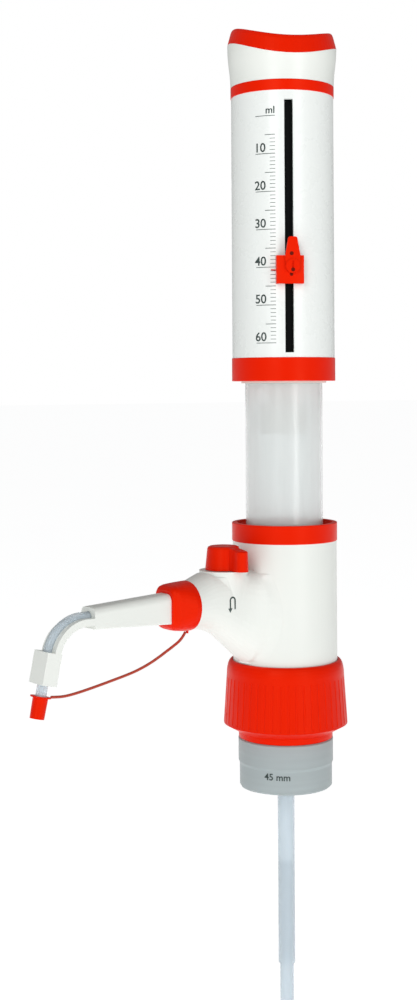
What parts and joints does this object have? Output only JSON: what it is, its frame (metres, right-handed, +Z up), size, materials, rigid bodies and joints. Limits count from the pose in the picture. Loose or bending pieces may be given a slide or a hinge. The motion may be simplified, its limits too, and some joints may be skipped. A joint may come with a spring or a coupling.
{
  "type": "bottle top dispenser",
  "caption": "Piston dispenser that screws on a reagent bottle: slotted sleeve with scale and sliding volume pointer, valve block with side spout, union nut, adapter and filling tube.",
  "frame": {"origin": "centre of the seat for the bottle's rim, on the axis of the bottle thread", "axes": "+Z up along the barrel, -X along the spout, the housing's seam lies at +Y and -Y"},
  "size_m": [0.1882, 0.0654, 0.5855],
  "materials": {
    "orange": "satin moulded plastic",
    "white": "satin moulded plastic",
    "core": "chemically resistant ivory plastic",
    "frosted": "translucent milky plastic",
    "grey": "translucent grey-green plastic",
    "glass": "clear drawn glass",
    "tube": "clear bluish fluoropolymer",
    "seal": "soft white fluoropolymer",
    "black": "black plastic",
    "ball": "ground ceramic",
    "steel": "drawn stainless wire",
    "elastomer": "dark elastomer"
  },
  "bodies": {
    "valve_block": {"bottle_adapter": "grey", "rim_seal": "seal", "stub_gasket": "seal", "valve_core": "core", "housing_front": "white", "housing_rear": "white", "housing_collar": "orange", "clamp_ring": "white", "glass_barrel": "glass", "barrel_seal": "seal", "guard_tube": "frosted", "barrel_head": "core", "intake_insert": "core", "intake_cage": "core", "filling_tube_upper": "tube", "return_tube": "tube", "outlet_seat": "core", "outlet_spring": "steel", "tube_nipple": "core", "leash_anchor": "orange", "spout_coupling": "orange", "spout_arm": "white", "delivery_tube": "tube", "cap_leash": "orange"},
    "union_nut": {"union_nut": "orange"},
    "piston_sleeve": {"sleeve_ring": "orange", "guide_bush": "core", "slotted_sleeve": "white", "slot_liner": "black", "seam_band": "orange", "upper_casing": "white", "top_cap": "orange", "piston_rod": "core", "piston_head": "core", "piston_seals": "seal", "rod_screw": "steel"},
    "volume_pointer": {"pointer_block": "orange", "clamp_plate": "black"},
    "pointer_lock": {"lock_lever": "orange"},
    "recirculation_valve": {"valve_knob": "orange", "valve_plug": "core", "plug_ring": "elastomer"},
    "intake_ball": {"intake_ball": "ball"},
    "outlet_ball": {"outlet_ball": "ball"},
    "spout_cap": {"spout_cap": "orange"},
    "lower_filling_tube": {"filling_tube_lower": "tube"}
  },
  "joints": [
    {"name": "nut_spin", "type": "hinge", "parent": "valve_block", "child": "union_nut", "pos_m": [0, 0, 0.028], "axis": [0, 0, 1], "continuous": true},
    {"name": "piston_stroke", "type": "slide", "parent": "valve_block", "child": "piston_sleeve", "axis": [0, 0, 1], "range_m": [-0.074, 0.042]},
    {"name": "volume_setting", "type": "slide", "parent": "piston_sleeve", "child": "volume_pointer", "axis": [0, 0, 1], "range_m": [-0.0373, 0.0695]},
    {"name": "pointer_lock", "type": "hinge", "parent": "volume_pointer", "child": "pointer_lock", "pos_m": [-0.01626, -0.02706, 0.25373], "axis": [-0.5446, -0.8387, 0], "range_deg": [-90, 0]},
    {"name": "recirculation_turn", "type": "hinge", "parent": "valve_block", "child": "recirculation_valve", "pos_m": [-0.041, 0, 0.0823], "axis": [0, 0, 1], "range_deg": [-180, 0]},
    {"name": "intake_ball_lift", "type": "slide", "parent": "valve_block", "child": "intake_ball", "axis": [0, 0, 1], "range_m": [0, 0.0025]},
    {"name": "outlet_ball_lift", "type": "slide", "parent": "valve_block", "child": "outlet_ball", "axis": [-1, 0, 0], "range_m": [0, 0.0015], "stiffness_N_per_m": 20, "springref_m": -0.001, "deforming": ["outlet_spring"]},
    {"name": "cap_pull", "type": "slide", "parent": "valve_block", "child": "spout_cap", "axis": [-0.2079, 0, -0.9781], "range_m": [0, 0.01], "deforming": ["cap_leash"]},
    {"name": "tube_reach", "type": "slide", "parent": "valve_block", "child": "lower_filling_tube", "axis": [0, 0, 1], "range_m": [-0.02, 0.0675]}
  ]
}
